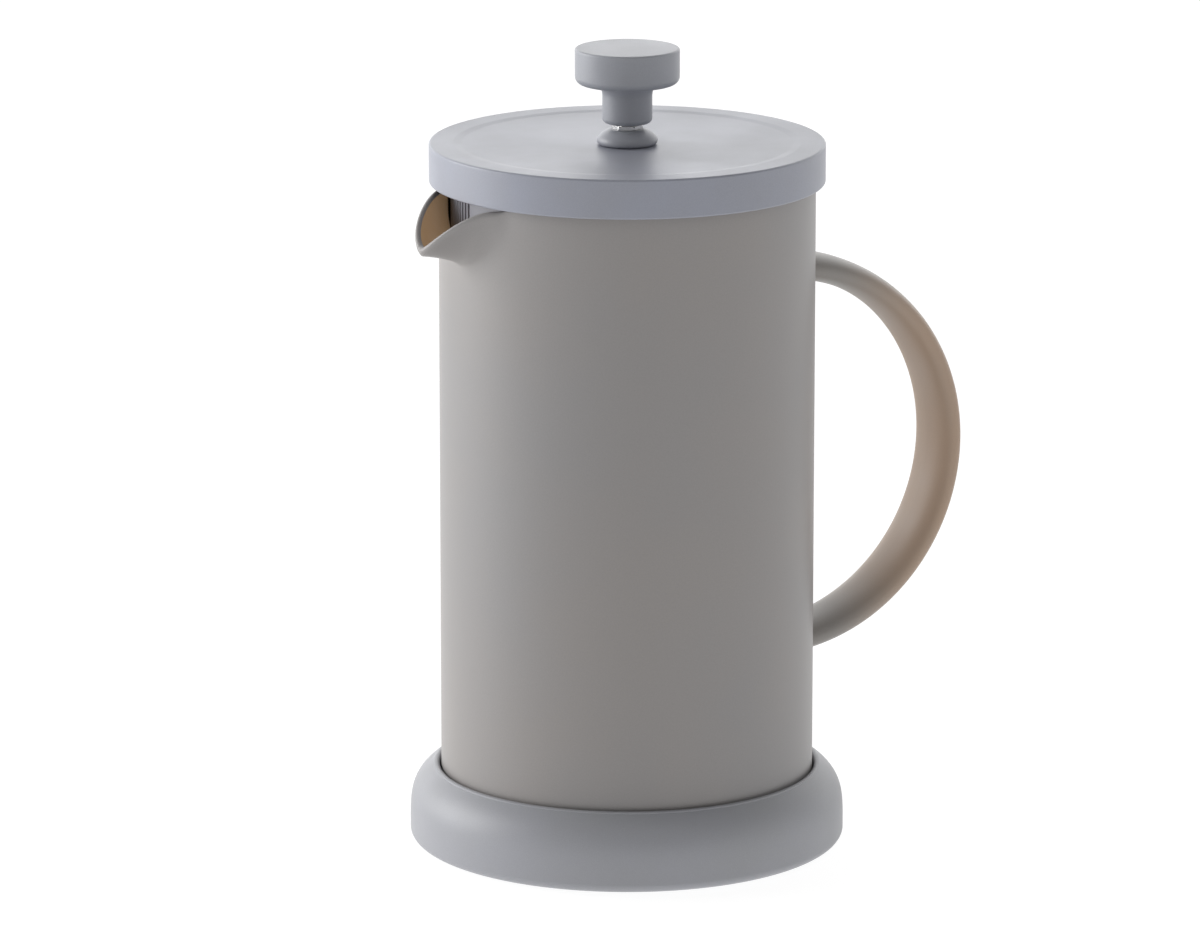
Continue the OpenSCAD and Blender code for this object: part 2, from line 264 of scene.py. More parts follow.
def makeHandleGlass():
    # round the bow, light coming through the glass is painted in as a browner, warmer colour
    finish = Finish("handleGlass", Coat_Roughness=0.3, Coat_IOR=1.5, IOR=1.5, Emission_Strength=1.0)
    low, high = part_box("handle")
    bow = finish.fit(finish.axis("X"), low.x + 0.008, high.x - 0.012, 0, 1, "SMOOTHSTEP")
    cloud = finish.noise(60, detail=3)
    speck = finish.noise(2600, detail=2)
    # the painted light coming through fades out at the outer face, which keeps the body's grey
    across = finish.axis("X") - handle["middleX"]
    rise = finish.axis("Z") - (low.z + high.z) / 2
    arm = (across * across + rise * rise) ** 0.5
    edge = high.x - handle["middleX"]
    thin = finish.fit(arm, edge - 0.0022, edge - 0.0002, 1, 0.15, "SMOOTHSTEP")
    warm = bow * finish.fit(cloud, 0.3, 0.7, 0.85, 1) * thin
    # painted light: the +Y half of the bow is coloured paler, as the side the light falls on
    inner = finish.fit(finish.axis("Y"), -0.001, 0.001, 0, 0.45, "SMOOTHSTEP")
    middleWithPaintedLight = finish.blend(inner, handlePaint["middle"], handlePaint["paintedLitSide"])
    tone = finish.blend(warm, handlePaint["ends"], middleWithPaintedLight)
    grain = finish.blend(0.03, tone, finish.fit(speck, 0.25, 0.75, 0.0, 1.0), "OVERLAY")
    peel = finish.noise(520, detail=2)
    bump = finish.bump(peel * 0.7 + speck * 0.3, 0.1, 0.00006)
    finish.feed(Base_Color=grain, Roughness=finish.fit(cloud, 0.3, 0.7, 0.4, 0.48), Normal=bump)
    # painted glow: an emission, strongest on the -Y side of the bow, stands in for light coming through the
    # glass
    side = finish.fit(finish.axis("Y"), -0.0085, 0.001, 1, 0, "SMOOTHSTEP")
    paintedGlow = finish.blend(side * bow, handlePaint["paintedGlowEnds"], handlePaint["paintedGlowSide"])
    finish.feed(Emission_Color=paintedGlow)
    glow = finish.node("ShaderNodeBsdfTranslucent", inputs={"Color": handlePaint["glow"]})
    surface = finish.node("ShaderNodeMixShader", inputs={0: warm * handlePaint["glowShare"], 2: glow})
    finish.tree.links.new(finish.shader.outputs[0], surface.socket.node.inputs[1])
    finish.tree.links.new(surface.socket, finish.output.inputs["Surface"])
    return finish.material


lidPlastic = {"light": rgb(149, 152, 164), "dark": rgb(147, 149, 158), "roughness": 0.38}
# painted light: the knob's plastic is the lid's plastic made paler, so the knob and dome come out lighter
paintedLightKnobPlastic = {"light": rgb(158, 160, 168), "dark": rgb(155, 157, 163), "roughness": 0.4}
basePlastic = {"light": rgb(155, 156, 162), "dark": rgb(153, 154, 158), "roughness": 0.45}


def makePlastic(name, plastic):
    # fine spark-eroded texture of a matte moulding, a little polished where hands rub it
    finish = Finish(name, IOR=1.48)
    cloud = finish.noise(28, detail=4, roughness=0.6)
    grit = finish.noise(3800, detail=3)
    tone = finish.blend(finish.fit(cloud, 0.35, 0.65, 0, 1), plastic["light"], plastic["dark"])
    grain = finish.blend(0.05, tone, finish.fit(grit, 0.3, 0.7, 0.1, 0.9), "OVERLAY")
    rough = finish.fit(cloud, 0.3, 0.7, plastic["roughness"] - 0.05, plastic["roughness"] + 0.05)
    finish.feed(Base_Color=grain, Roughness=rough, Normal=finish.bump(grit, 0.35, 0.00005))
    return finish.material


def makeSteel(name, brightness, roughness, stretch):
    # turned or rolled stainless, with fine lines along the way it was worked
    finish = Finish(name, Metallic=1)
    lines = finish.noise(1, detail=4, vector=finish.stretched(stretch))
    cloud = finish.noise(90, detail=3)
    shade = [value * brightness for value in (0.66, 0.655, 0.645)] + [1]
    light = [min(1, value * brightness) for value in (0.8, 0.795, 0.785)] + [1]
    tone = finish.blend(finish.fit(lines, 0.3, 0.7, 0, 1), shade, light)
    rough = finish.fit(lines, 0.3, 0.7, roughness - 0.05, roughness + 0.05)
    rough = rough + finish.fit(cloud, 0.3, 0.7, -0.02, 0.03)
    finish.feed(Base_Color=tone, Roughness=rough, Normal=finish.bump(lines, 0.12, 0.00003))
    return finish.material


def makeWovenWire():
    # over-and-under wires, 0.6 mm apart across the flat and round the rim
    finish = Finish("wovenWire", Metallic=1)
    pitch = 2 * math.pi / 0.0006
    across = finish.node("ShaderNodeMath", {"operation": "SINE"}, {0: finish.axis("X") * pitch})
    along = finish.node("ShaderNodeMath", {"operation": "SINE"}, {0: finish.axis("Y") * pitch})
    rise = finish.node("ShaderNodeMath", {"operation": "SINE"}, {0: finish.axis("Z") * pitch})
    weave = finish.node("ShaderNodeMath", {"operation": "MAXIMUM"}, {0: across * along, 1: rise * across})
    height = finish.fit(weave, -1, 1, 0, 1)
    # painted shade: the low places between the wires are coloured near black, as the shaded gaps of the weave
    tone = finish.blend(height, (0.1, 0.1, 0.1, 1), (0.72, 0.72, 0.7, 1))
    rough = finish.fit(height, 0, 1, 0.5, 0.3)
    finish.feed(Base_Color=tone, Roughness=rough, Normal=finish.bump(height, 0.6, 0.0001))
    return finish.material


def makeBrass():
    finish = Finish("turnedBrass", Metallic=1)
    lines = finish.noise(1, detail=3, vector=finish.stretched((60, 60, 6000)))
    tone = finish.blend(finish.fit(lines, 0.3, 0.7, 0, 1), rgb(190, 150, 84), rgb(214, 178, 108))
    finish.feed(Base_Color=tone, Roughness=finish.fit(lines, 0.3, 0.7, 0.22, 0.34))
    return finish.material


def makeSilicone():
    finish = Finish("silicone", IOR=1.41)
    cloud = finish.noise(70, detail=3)
    grit = finish.noise(2400, detail=2)
    tone = finish.blend(finish.fit(cloud, 0.35, 0.65, 0, 1), rgb(86, 86, 89), rgb(78, 78, 81))
    rough = finish.fit(grit, 0.3, 0.7, 0.62, 0.74)
    finish.feed(Base_Color=tone, Roughness=rough, Normal=finish.bump(grit, 0.3, 0.00005))
    return finish.material


paintedGlass = makePaintedGlass()
bareGlass = makeBareGlass()
handleGlass = makeHandleGlass()
lidMoulding = makePlastic("lidMoulding", lidPlastic)
paintedLightKnobMoulding = makePlastic("paintedLightKnobMoulding", paintedLightKnobPlastic)
baseMoulding = makePlastic("baseMoulding", basePlastic)
turnedSteel = makeSteel("turnedSteel", 1.0, 0.2, (80, 80, 5000))
rolledSteel = makeSteel("rolledSteel", 0.95, 0.28, (4000, 90, 90))
wireSteel = makeSteel("wireSteel", 1.0, 0.22, (700, 700, 700))
wovenWire = makeWovenWire()
turnedBrass = makeBrass()
silicone = makeSilicone()
print("finishes made")


def rounded(corners, closed=True):
    # corners are (radius, height, rounding); each rounding above 0 becomes an arc
    outline = []
    count = len(corners)
    for index, (radius, height, rounding) in enumerate(corners):
        here = Vector((radius, height))
        atEnd = not closed and index in (0, count - 1)
        if not rounding or atEnd:
            outline.append(here)
            continue
        toLast = (Vector(corners[index - 1][:2]) - here).normalized()
        toNext = (Vector(corners[(index + 1) % count][:2]) - here).normalized()
        half = toLast.angle(toNext) / 2
        centre = here + (toLast + toNext).normalized() * (rounding / math.sin(half))
        first = here + toLast * (rounding / math.tan(half)) - centre
        last = here + toNext * (rounding / math.tan(half)) - centre
        steps = max(3, round(math.degrees(math.pi - 2 * half) / 11))
        sweep = first.angle_signed(last)
        for step in range(steps + 1):
            outline.append(centre + Matrix.Rotation(-sweep * step / steps, 2) @ first)
    return outline


def straight(points):
    return [(radius, height, 0) for radius, height in points]


def spun(outline, steps=192, closed=True):
    bm = bmesh.new()
    verts = [bm.verts.new((radius, 0, height)) for radius, height in outline]
    edges = [bm.edges.new(pair) for pair in zip(verts, verts[1:])]
    if closed:
        edges.append(bm.edges.new((verts[-1], verts[0])))
    bmesh.ops.spin(bm, geom=verts + edges, cent=(0, 0, 0), axis=(0, 0, 1),
                   angle=2 * math.pi, steps=steps, use_merge=True)
    bmesh.ops.remove_doubles(bm, verts=bm.verts, dist=1e-6)
    bmesh.ops.recalc_face_normals(bm, faces=bm.faces)
    return bm


def finishPiece(bm, name, node, material, sharpAngle=34, soften=True):
    # the mesh becomes an object that stands for its CAD node and rides on that node's body
    for face in bm.faces:
        face.smooth = True
    for edge in bm.edges:
        if len(edge.link_faces) == 2 and edge.calc_face_angle(0) > math.radians(sharpAngle):
            edge.smooth = False
    mesh = bpy.data.meshes.new(name)
    bm.to_mesh(mesh)
    bm.free()
    piece = bpy.data.objects.new(name, mesh)
    bpy.context.collection.objects.link(piece)
    for each in material if isinstance(material, list) else [material]:
        mesh.materials.append(each)
    if soften:
        even = piece.modifiers.new("evenNormals", "WEIGHTED_NORMAL")
        even.keep_sharp = True
    body = next(name for name, nodes in frame["record"]["behaviour"]["bodies"].items() if node in nodes)
    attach(piece, body)
    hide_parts(node)
    return piece


def ringOutline(node, outer, inner, rounding):
    low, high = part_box(node)
    return rounded([(inner, low.z, rounding), (outer, low.z, rounding),
                    (outer, high.z, rounding), (inner, high.z, rounding)])


def power(base, exponent):
    return math.copysign(abs(base) ** exponent, base)


base = {
    "crest": 0.001,
    "shoulder": 0.0007,
    "gap": 0.00035,
    "floor": 0.0034,
    "recess": 0.045,
    "recessDepth": 0.001,
    "widest": 0.0034,
    "foot": 0.004,
    "bulge": 4.4,
    "cove": 0.006,
}


def makeBaseShell():
    low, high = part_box("base_shell")
    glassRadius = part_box("vessel")[1].y
    inner = glassRadius + base["gap"]
    crestRadius, crestHeight = inner + base["crest"], high.z - base["crest"]
    sideTop = high.z - 0.0005
    corners = [(0, low.z + base["recessDepth"], 0), (base["recess"], low.z + base["recessDepth"], 0.0003),
               (base["recess"], low.z, 0.0004)]
    for step in range(0, 17):
        turn = math.radians(90 - 90 * step / 16)
        corners.append((high.x - base["foot"] + base["foot"] * math.cos(turn),
                        base["widest"] - (base["widest"] - low.z) * math.sin(turn), 0))
    for step in range(1, 25):
        rise = step / 24
        width = high.x - (high.x - crestRadius - base["shoulder"]) * rise ** base["bulge"]
        corners.append((width, base["widest"] + (sideTop - base["widest"]) * rise, 0))
    for step in range(15):
        turn = math.radians(50 + 130 * step / 14)
        corners.append((crestRadius + base["crest"] * math.cos(turn),
                        crestHeight + base["crest"] * math.sin(turn), 0))
    corners += [(inner, base["floor"], base["cove"]), (0, base["floor"], 0)]
    shell = spun(rounded(corners, closed=False), 256, closed=False)
    finishPiece(shell, "baseShell", "base_shell", baseMoulding)


def makeSeatRing():
    # a flat cushion with three raised beads that the glass stands on
    low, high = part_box("seat_ring")
    inner, outer = 0.0326, high.x
    beads = 3
    bed = high.z - 0.0005
    corners = [(inner, low.z, 0.0001), (outer, low.z, 0.0001), (outer, bed, 0.0004)]
    for index in reversed(range(beads)):
        middle = inner + (outer - inner) * (index + 0.5) / beads
        corners += [(middle + 0.0011, bed, 0.0001), (middle + 0.0005, high.z, 0.0003),
                    (middle - 0.0005, high.z, 0.0003), (middle - 0.0011, bed, 0.0001)]
    corners.append((inner, bed, 0.0004))
    finishPiece(spun(rounded(corners)), "seatRing", "seat_ring", silicone)


def makeGripPad():
    low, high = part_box("grip_pad")
    depth = 0.0004
    corners = [(0, high.z, 0), (high.x, high.z, 0.0003), (high.x, low.z, 0.0005)]
    for index in range(5, 0, -1):
        outer, inner = 0.007 * index + 0.002, 0.007 * index + 0.001
        corners += [(outer, low.z, 0.0001), (outer - 0.0001, low.z + depth, 0.0001),
                    (inner + 0.0001, low.z + depth, 0.0001), (inner, low.z, 0.0001)]
    corners.append((0, low.z, 0))
    finishPiece(spun(rounded(corners, closed=False), closed=False), "gripPad", "grip_pad", silicone)


makeBaseShell()
makeSeatRing()
makeGripPad()
print("base made")


glass = {
    "wall": 0.0024,
    "floor": 0.003,
    "corner": 0.008,
    "innerCorner": 0.006,
    "skinStart": 0.155,
    "lipHalf": 0.0012,
    "spoutHalfAngle": 25,
    "spoutReach": 0.0113,
    "spoutDrop": 0.0191,
    "shoulderAngle": 19,
    "shoulderDrop": 0.0081,
    "shoulderPower": 1.35,
    "levelAngle": 36,
    "flareHeight": 0.006,
    "flareLate": 0.005,
    "flarePower": 2.4,
    "rows": 40,
}


def smoothStep(value, low, high):
    part = min(1, max(0, (value - low) / (high - low)))
    return part * part * (3 - 2 * part)


def lipHeight(turn, rim):
    # height of the lip this many degrees from the spout's middle
    up = math.sin(math.radians(90 * min(turn, glass["shoulderAngle"]) / glass["shoulderAngle"]))
    tipRise = glass["spoutDrop"] - glass["shoulderDrop"]
    late = smoothStep(turn, glass["shoulderAngle"], glass["levelAngle"])
    return rim - glass["spoutDrop"] + tipRise * up ** glass["shoulderPower"] + glass["shoulderDrop"] * late


def pullSpout(bm, rim, middle):
    # the top of a plain tube is drawn outwards and down, as a hot rim is over a former
    top = rim - glass["lipHalf"]
    start = glass["skinStart"]
    for vert in bm.verts:
        if vert.co.z <= start + 1e-6:
            continue
        radius = math.hypot(vert.co.x, vert.co.y)
        turn = abs(math.degrees(math.atan2(vert.co.y, -vert.co.x)))
        spread = 0
        if turn < glass["spoutHalfAngle"]:
            spread = math.cos(math.radians(90 * turn / glass["spoutHalfAngle"])) ** 2
        newTop = lipHeight(turn, rim) - glass["lipHalf"]
        flareStart = rim - glass["spoutDrop"] - glass["flareHeight"] + glass["flareLate"] * (1 - spread)
        part = min(1, (vert.co.z - start) / (top - start))
        height = start + (newTop - start) * part
        climb = min(1, max(0, (height - flareStart) / (newTop - flareStart)))
        flare, bend = glass["spoutReach"] * spread, glass["flarePower"]
        slope = flare * bend * climb ** (bend - 1) / (newTop - flareStart)
        lean = math.atan(slope)
        out = radius - middle
        beyond = max(0, vert.co.z - top)
        newRadius = middle + flare * climb ** bend + out * math.cos(lean) + beyond * math.sin(lean)
        newHeight = height - out * math.sin(lean) + beyond * math.cos(lean)
        vert.co.x *= newRadius / radius
        vert.co.y *= newRadius / radius
        vert.co.z = newHeight


def makeVessel():
    low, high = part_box("vessel")
    outer = high.y
    inner, middle = outer - glass["wall"], outer - glass["wall"] / 2
    inside = low.z + glass["floor"]
    top, half = high.z - glass["lipHalf"], glass["lipHalf"]
    corners = [(0, low.z, 0), (outer, low.z, glass["corner"]), (outer, glass["skinStart"], 0)]
    heights = [glass["skinStart"] + (top - glass["skinStart"]) * row / glass["rows"]
               for row in range(1, glass["rows"] + 1)]
    thin = [glass["wall"] / 2 + (half - glass["wall"] / 2) * row / glass["rows"]
            for row in range(1, glass["rows"] + 1)]
    wall = list(zip(thin, heights))
    corners += straight([(middle + away, height) for away, height in wall])
    for step in range(1, 12):
        turn = math.pi * step / 12
        corners.append((middle + half * math.cos(turn), top + half * math.sin(turn), 0))
    corners += straight([(middle - away, height) for away, height in reversed(wall)])
    corners += [(inner, glass["skinStart"], 0), (inner, inside, glass["innerCorner"]), (0, inside, 0)]
    bm = spun(rounded(corners, closed=False), 288, closed=False)
    for face in bm.faces:
        spot, normal = face.calc_center_median(), face.normal
        isInner = spot.x * normal.x + spot.y * normal.y < 0 or normal.z > 0.5
        if isInner and inside - 0.0005 < spot.z < top:
            face.material_index = 1
    pullSpout(bm, high.z, middle)
    finishPiece(bm, "glassBody", "vessel", [paintedGlass, bareGlass])


def makeHandle():
    low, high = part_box("handle")
    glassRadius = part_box("vessel")[1].y
    reach = high.x - handle["middleX"] - handle["thickness"] / 2
    centre = Vector((handle["middleX"], 0, (low.z + high.z) / 2))
    bm = bmesh.new()
    ring = []
    for side in range(handle["sides"]):
        turn = 2 * math.pi * side / handle["sides"]
        out = handle["thickness"] / 2 * power(math.cos(turn), 2 / handle["squareness"])
        across = handle["width"] / 2 * power(math.sin(turn), 2 / handle["squareness"])
        ring.append(bm.verts.new(centre + Vector((0, across, -reach - out))))
    edges = [bm.edges.new(pair) for pair in zip(ring, ring[1:] + ring[:1])]
    turnStart = math.radians(3)
    bmesh.ops.rotate(bm, verts=ring, cent=centre, matrix=Matrix.Rotation(-turnStart, 3, "Y"))
    bmesh.ops.spin(bm, geom=ring + edges, cent=centre, axis=(0, -1, 0),
                   angle=math.pi - 2 * turnStart, steps=handle["steps"])
    bmesh.ops.holes_fill(bm, edges=bm.edges)
    for vert in bm.verts:
        # the ends spread a little where they were fused to the wall
        gap = math.hypot(vert.co.x, vert.co.y) - glassRadius
        if gap < handle["weld"]:
            arm = (vert.co - centre)
            along = Vector((arm.x, 0, arm.z)).normalized() * reach
            core = centre + along
            close = 1 - max(0, gap) / handle["weld"]
            swell = handle["weldSpread"] * (1 - math.sqrt(max(0, 1 - close * close)))
            vert.co += (vert.co - core).normalized() * swell
    bmesh.ops.recalc_face_normals(bm, faces=bm.faces)
    finishPiece(bm, "bandHandle", "handle", handleGlass, sharpAngle=60)


makeVessel()
makeHandle()
print("glass made")


lid = {
    "bandWall": 0.0016,
    "coverWall": 0.0022,
    "dish": 0.00065,
    "step": 0.00025,
    "edge": 0.0006,
    "rimWidth": 0.0064,
    "slopeWidth": 0.0022,
    "hub": 0.0089,
    "bore": 0.00345,
    "linerWall": 0.0014,
    "linerTop": 0.0015,
    "slots": 25,
    "slotPitch": 2.4,
    "slotTurn": 150.4,
    "slotLow": 0.003,
    "slotHigh": 0.0018,
}


def makeCover():
    low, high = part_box("lid_cover")
    outer = high.x
    hubTop, dish = high.z - lid["dish"], high.z - lid["step"]
    under = hubTop - lid["coverWall"]
    corners = [
        (lid["bore"], under, 0.0002), (outer - lid["bandWall"], under, 0.0006),
        (outer - lid["bandWall"], low.z, 0.0004), (outer, low.z, 0.0005),
        (outer, high.z, lid["edge"]), (outer - lid["rimWidth"], high.z, 0.006),
        (outer - lid["rimWidth"] - lid["slopeWidth"], dish, 0.006), (lid["hub"], hubTop, 0.006),
        (lid["bore"], hubTop, 0.0001),
    ]
    finishPiece(spun(rounded(corners), 256), "lidCover", "lid_cover", lidMoulding)


def makeLiner():
    # one skin, with the slots cut out of it, thickened inwards
    low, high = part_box("lid_liner")
    wall = lid["linerWall"]
    plate = high.z - lid["linerTop"]
    slotLow, slotHigh = low.z + lid["slotLow"], plate - lid["slotHigh"]
    rows = [low.z, low.z + 0.001, slotLow, (slotLow + slotHigh) / 2, slotHigh, high.z - 0.0009, high.z]
    bm = bmesh.new()
    verts = [bm.verts.new((lid["bore"], 0, high.z)), bm.verts.new((high.x * 0.5, 0, high.z))]
    verts += [bm.verts.new((high.x, 0, height)) for height in reversed(rows)]
    edges = [bm.edges.new(pair) for pair in zip(verts, verts[1:])]
    firstTurn = lid["slotTurn"] - lid["slotPitch"] / 4
    bmesh.ops.rotate(bm, verts=verts, cent=(0, 0, 0), matrix=Matrix.Rotation(math.radians(firstTurn), 3, "Z"))
    bmesh.ops.spin(bm, geom=verts + edges, cent=(0, 0, 0), axis=(0, 0, 1),
                   angle=2 * math.pi, steps=round(720 / lid["slotPitch"]), use_merge=True)
    bmesh.ops.remove_doubles(bm, verts=bm.verts, dist=1e-6)
    gone = []
    reach = (lid["slots"] - 1) / 2 * lid["slotPitch"]
    for face in bm.faces:
        spot = face.calc_center_median()
        turn = math.degrees(math.atan2(spot.y, spot.x)) - lid["slotTurn"]
        turn = (turn + 180) % 360 - 180
        step = turn / lid["slotPitch"]
        isSlot = abs(step - round(step)) < 0.25 and abs(turn) < reach + 1
        if isSlot and slotLow < spot.z < slotHigh and math.hypot(spot.x, spot.y) > high.x * 0.9:
            gone.append(face)
    bmesh.ops.delete(bm, geom=gone, context="FACES")
    bmesh.ops.recalc_face_normals(bm, faces=bm.faces)
    piece = finishPiece(bm, "lidLiner", "lid_liner", lidMoulding, soften=False)
    thick = piece.modifiers.new("wall", "SOLIDIFY")
    thick.thickness = wall
    thick.offset = -1
    thick.use_even_offset = True
    soft = piece.modifiers.new("edges", "BEVEL")
    soft.width = 0.0002
    soft.segments = 2
    soft.limit_method = "ANGLE"
    soft.angle_limit = math.radians(40)
    even = piece.modifiers.new("evenNormals", "WEIGHTED_NORMAL")
    even.keep_sharp = False


def makeCap():
    low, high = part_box("lid_cap")
    foot, crown, slope = 0.0009, 0.0041, 1.5
    corners = [(lid["bore"], low.z, 0), (high.x - foot, low.z, 0)]
    for step in range(1, 6):
        turn = math.radians(-90 + 15 * step)
        corners.append((high.x - foot + foot * math.cos(turn), low.z + foot + foot * math.sin(turn), 0))
    for step in range(0, 19):
        turn = math.radians(87 * step / 18)
        corners.append((crown + (high.x - crown) * math.cos(turn) ** slope,
                        low.z + foot + (high.z - low.z - foot) * math.sin(turn), 0))
    corners += [(crown, high.z, 0), (lid["bore"], high.z, 0.0002)]
    finishPiece(spun(rounded(corners), 96), "lidCap", "lid_cap", paintedLightKnobMoulding)


def threadOutline(outer, low, high, pitch, depth):
    # the ridges of a thread, from the bottom up
    count = max(1, int((high - low) / pitch))
    step = (high - low) / count
    points = []
    for index in range(count):
        start = low + step * index
        points += [(outer - depth, start + step * 0.05), (outer, start + step * 0.4),
                   (outer, start + step * 0.6), (outer - depth, start + step * 0.95)]
    return points


ferrule = {"tube": 0.0034, "bore": 0.00245, "head": 0.001, "chamfer": 0.0002}


def makeFerrule():
    # a bush with a hexagonal head above the dome and a thread for the nut below
    low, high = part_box("rod_ferrule")
    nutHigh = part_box("lid_nut")[1].z
    corner, tube, bore = high.x, ferrule["tube"], ferrule["bore"]
    flat, chamfer = corner * math.cos(math.pi / 6), ferrule["chamfer"]
    under = high.z - ferrule["head"]
    corners = [(bore, low.z, 0.0001), (tube - 0.0004, low.z, 0.0001)]
    corners += straight(threadOutline(tube, low.z + 0.0002, nutHigh, 0.0008, 0.0003))
    corners += [(tube, nutHigh + 0.0002, 0), (tube, under, 0), (corner - chamfer, under, 0),
                (corner, under + chamfer, 0), (corner, high.z - chamfer, 0), (corner - chamfer, high.z, 0),
                (bore + 0.0003, high.z, 0.0001), (bore, high.z - 0.0003, 0)]
    bm = spun(rounded(corners), 96)
    for vert in bm.verts:
        # the head's round side is cut to six flats
        turn, reach = math.atan2(vert.co.y, vert.co.x), math.hypot(vert.co.x, vert.co.y)
        side = flat / math.cos((turn + math.pi / 6) % (math.pi / 3) - math.pi / 6)
        if reach > side and vert.co.z > under - 0.00001:
            vert.co.x *= side / reach
            vert.co.y *= side / reach
    finishPiece(bm, "rodFerrule", "rod_ferrule", turnedSteel, sharpAngle=25)


def makeWasher():
    outline = ringOutline("lid_washer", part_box("lid_washer")[1].x, 0.0034, 0.00015)
    finishPiece(spun(outline, 96), "lidWasher", "lid_washer", rolledSteel)


def makeNut():
    low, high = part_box("lid_nut")
    corner = high.x
    flat = corner * math.cos(math.pi / 6)
    bore = 0.0034
    bm = bmesh.new()
    made = bmesh.ops.create_circle(bm, segments=72, radius=bore)["verts"]
    rims = [made]
    for radius in (bore + 0.0005, flat, corner, corner):
        grown = bmesh.ops.create_circle(bm, segments=72, radius=radius)["verts"]
        rims.append(grown)
    levels = [low.z + 0.0004, low.z, low.z, low.z + 0.0007, high.z]
    for rim, level in zip(rims, levels):
        for vert in rim:
            turn = math.atan2(vert.co.y, vert.co.x)
            away = math.hypot(vert.co.x, vert.co.y)
            # a hexagon's distance from its middle in this direction
            side = flat / math.cos((turn + math.pi / 6) % (math.pi / 3) - math.pi / 6)
            keep = min(away, side)
            vert.co = Vector((keep * math.cos(turn), keep * math.sin(turn), level))
            if rim is rims[3]:
                vert.co.z = low.z + 0.0007 * (keep - flat) / (corner - flat)
    for first, second in zip(rims, rims[1:]):
        ringEdges = [edge for edge in bm.edges if all(vert in first or vert in second for vert in edge.verts)]
        bmesh.ops.bridge_loops(bm, edges=ringEdges)
    topEdges = [edge for edge in bm.edges if all(vert in rims[-1] for vert in edge.verts)]
    lifted = bmesh.ops.extrude_edge_only(bm, edges=topEdges)["geom"]
    for vert in [item for item in lifted if isinstance(item, bmesh.types.BMVert)]:
        turn = math.atan2(vert.co.y, vert.co.x)
        vert.co = Vector((bore * math.cos(turn), bore * math.sin(turn), high.z))
    innerEdges = [edge for edge in bm.edges if edge.is_boundary]
    bmesh.ops.bridge_loops(bm, edges=innerEdges)
    bmesh.ops.recalc_face_normals(bm, faces=bm.faces)
    finishPiece(bm, "lidNut", "lid_nut", rolledSteel, sharpAngle=25)


makeCover()
makeLiner()
makeCap()
makeFerrule()
makeWasher()
makeNut()
print("lid made")


plunger = {
    "rodRadius": 0.0024,
    "neck": 0.0065,
    "flare": 0.0076,
    "headHeight": 0.0095,
    "neckEdge": 0.0014,
    "topEdge": 0.0006,
    "underEdge": 0.002,
    "flareHeight": 0.0032,
}


def makeKnob():
    low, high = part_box("knob")
    headLow = high.z - plunger["headHeight"]
    insertLow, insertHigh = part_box("knob_insert")
    boreRadius, cavity = plunger["rodRadius"] + 0.0002, insertHigh.x
    corners = [(0, insertHigh.z, 0), (cavity, insertHigh.z, 0), (cavity, insertLow.z, 0),
               (boreRadius, insertLow.z, 0), (boreRadius, low.z, 0.0003),
               (plunger["neck"], low.z, plunger["neckEdge"])]
    for step in range(0, 13):
        rise = step / 12
        corners.append((plunger["neck"] + (plunger["flare"] - plunger["neck"]) * rise ** 2.4,
                        headLow - plunger["flareHeight"] * (1 - rise), 0))
    corners += [(high.x, headLow + 0.0002, plunger["underEdge"]), (high.x, high.z, plunger["topEdge"]),
                (0, high.z, 0)]
    finishPiece(spun(rounded(corners, closed=False), 160, closed=False), "plungerKnob", "knob", paintedLightKnobMoulding)


def makeInsert():
    low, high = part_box("knob_insert")
    outer, bore = high.x, plunger["rodRadius"]
    waistLow, waistHigh = low.z + 0.003, low.z + 0.005
    corners = [(bore, low.z, 0), (outer, low.z, 0.0003), (outer, waistLow, 0.0002),
               (outer - 0.0006, waistLow, 0), (outer - 0.0006, waistHigh, 0), (outer, waistHigh, 0.0002),
               (outer, high.z, 0.0003), (bore, high.z, 0)]
    finishPiece(spun(rounded(corners), 96), "knobInsert", "knob_insert", turnedBrass)


def makeRod():
    low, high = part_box("rod")
    radius, tip, depth = plunger["rodRadius"], 0.0006, 0.0003
    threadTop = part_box("spiral_plate")[0].z
    corners = [(0, low.z, 0), (radius - tip, low.z, 0.0001)]
    corners += straight(threadOutline(radius, low.z + tip, threadTop, 0.0008, depth))
    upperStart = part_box("knob_insert")[0].z + 0.0005
    corners += [(radius, threadTop + 0.0002, 0), (radius, upperStart - 0.0001, 0)]
    corners += straight(threadOutline(radius, upperStart, high.z - tip, 0.0008, depth))
    corners += [(radius - tip, high.z, 0.0001), (0, high.z, 0)]
    finishPiece(spun(rounded(corners, closed=False), 64, closed=False), "plungerRod", "rod", turnedSteel)


def makeCollar():
    low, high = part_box("rod_collar")
    outer, bore = high.x, plunger["rodRadius"]
    corners = [(bore, low.z, 0), (outer, low.z, 0.0002), (outer, high.z - 0.0016, 0.0004),
               (outer - 0.0016, high.z, 0.0004), (bore, high.z, 0.0001)]
    finishPiece(spun(rounded(corners), 96), "rodCollar", "rod_collar", turnedSteel)


